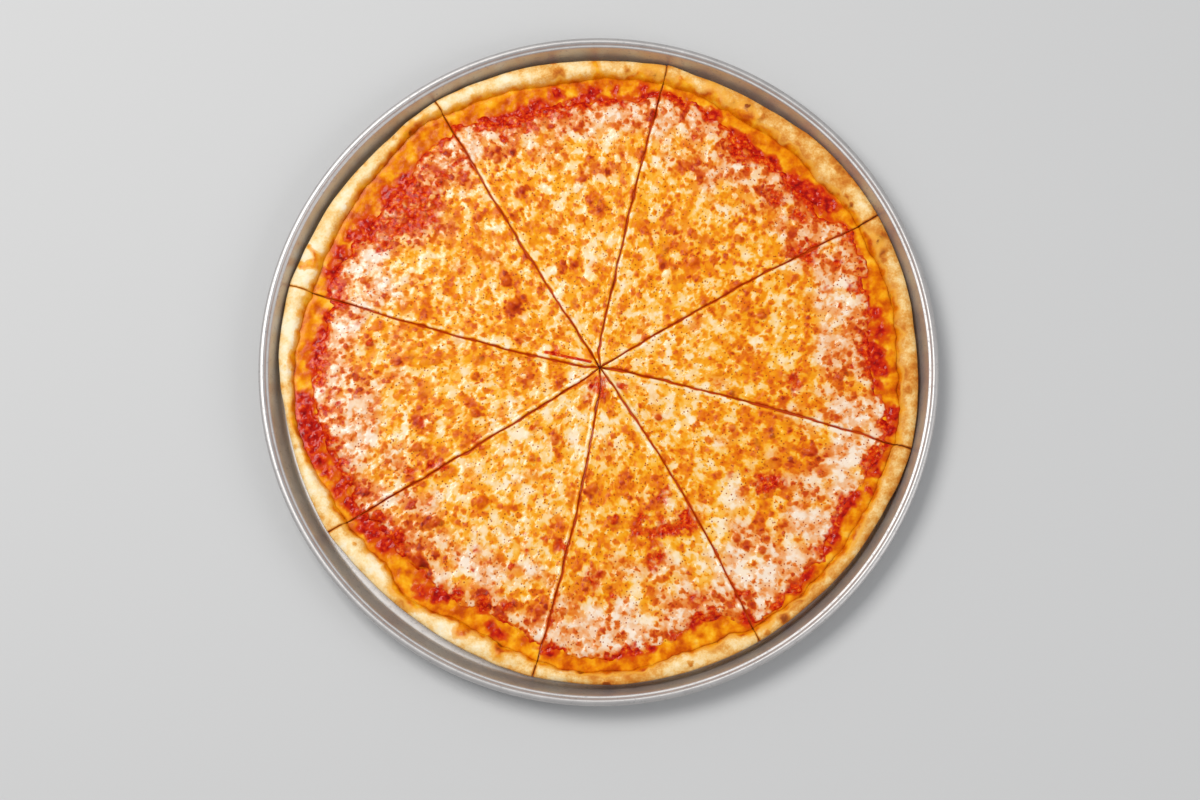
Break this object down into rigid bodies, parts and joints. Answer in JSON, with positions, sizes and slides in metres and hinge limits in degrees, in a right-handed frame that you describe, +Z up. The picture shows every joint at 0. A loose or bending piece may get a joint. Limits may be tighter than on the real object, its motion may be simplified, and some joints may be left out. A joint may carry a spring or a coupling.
{
  "type": "sliced cheese pizza in a round pan",
  "caption": "Whole thin cheese pizza cut into wedge slices, with a raised browned rim, red sauce and melted cheese, lying in a shallow round aluminium pan with a rolled edge.",
  "frame": {"origin": "centre of the pan's flat underside", "axes": "+Z up, +X to the right and +Y away from the viewer as the pizza is seen from above and a little in front"},
  "size_m": [0.484, 0.484, 0.022],
  "materials": {
    "aluminium": "matte spun sheet with fine scuffs",
    "baked_dough": "matte baked crust, blond to brown",
    "tomato_sauce": "wet and glossy",
    "melted_cheese": "oily, with browned spots"
  },
  "bodies": {
    "root": {"pan": "aluminium", "dough_right": "baked_dough", "dough_upper_right": "baked_dough", "dough_top": "baked_dough", "dough_upper_left": "baked_dough", "dough_left": "baked_dough", "dough_lower_left": "baked_dough", "dough_bottom": "baked_dough", "dough_lower_right": "baked_dough", "sauce_right": "tomato_sauce", "sauce_upper_right": "tomato_sauce", "sauce_top": "tomato_sauce", "sauce_upper_left": "tomato_sauce", "sauce_left": "tomato_sauce", "sauce_lower_left": "tomato_sauce", "sauce_bottom": "tomato_sauce", "sauce_lower_right": "tomato_sauce", "cheese_right": "melted_cheese", "cheese_upper_right": "melted_cheese", "cheese_top": "melted_cheese", "cheese_upper_left": "melted_cheese", "cheese_left": "melted_cheese", "cheese_lower_left": "melted_cheese", "cheese_bottom": "melted_cheese", "cheese_lower_right": "melted_cheese"}
  },
  "joints": []
}
